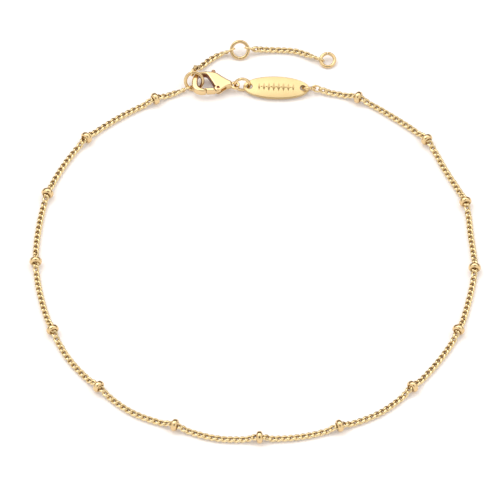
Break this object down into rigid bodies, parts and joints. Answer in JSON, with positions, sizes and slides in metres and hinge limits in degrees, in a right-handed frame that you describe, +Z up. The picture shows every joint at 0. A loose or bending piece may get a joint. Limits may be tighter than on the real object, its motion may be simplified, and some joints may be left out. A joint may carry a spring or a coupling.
{
  "type": "chain anklet",
  "caption": "Gold-tone anklet lying as an open loop: a fine curb chain with rondelle beads, a slim oval tag, a lobster clasp and a short extender chain with two round rings.",
  "frame": {"origin": "on the table, under the middle of the whole anklet's box", "axes": "+Z up from the table; +Y towards the side of the loop with the clasp, tag and extender; +X from the clasp towards the tag"},
  "size_m": [0.0766, 0.0852, 0.0032],
  "materials": {
    "chain_gold": "polished gold plating on fine wire, darker between the links",
    "polished_gold": "polished pale gold plating",
    "satin_gold": "satin pale gold plating with a polished edge"
  },
  "bodies": {
    "anklet": {"main_chain": "chain_gold", "bead_01": "polished_gold", "bead_02": "polished_gold", "bead_03": "polished_gold", "bead_04": "polished_gold", "bead_05": "polished_gold", "bead_06": "polished_gold", "bead_07": "polished_gold", "bead_08": "polished_gold", "bead_09": "polished_gold", "bead_10": "polished_gold", "bead_11": "polished_gold", "bead_12": "polished_gold", "bead_13": "polished_gold", "bead_14": "polished_gold", "bead_15": "polished_gold", "clasp_body": "polished_gold", "clasp_pin": "polished_gold", "clasp_ring": "polished_gold", "tag_ring": "polished_gold", "chain_ring": "polished_gold", "middle_ring": "polished_gold", "end_ring": "polished_gold", "tag": "satin_gold", "extender_chain_inner": "chain_gold", "extender_chain_outer": "chain_gold"},
    "lever": {"clasp_lever": "polished_gold"}
  },
  "joints": [
    {"name": "clasp_lever_hinge", "type": "hinge", "parent": "anklet", "child": "lever", "pos_m": [-0.00638, 0.03228, 0.00134], "axis": [-0.0252, 0, -0.9997], "range_deg": [0, 20], "stiffness_Nm_per_rad": 0.002, "springref_deg": -17.19}
  ]
}
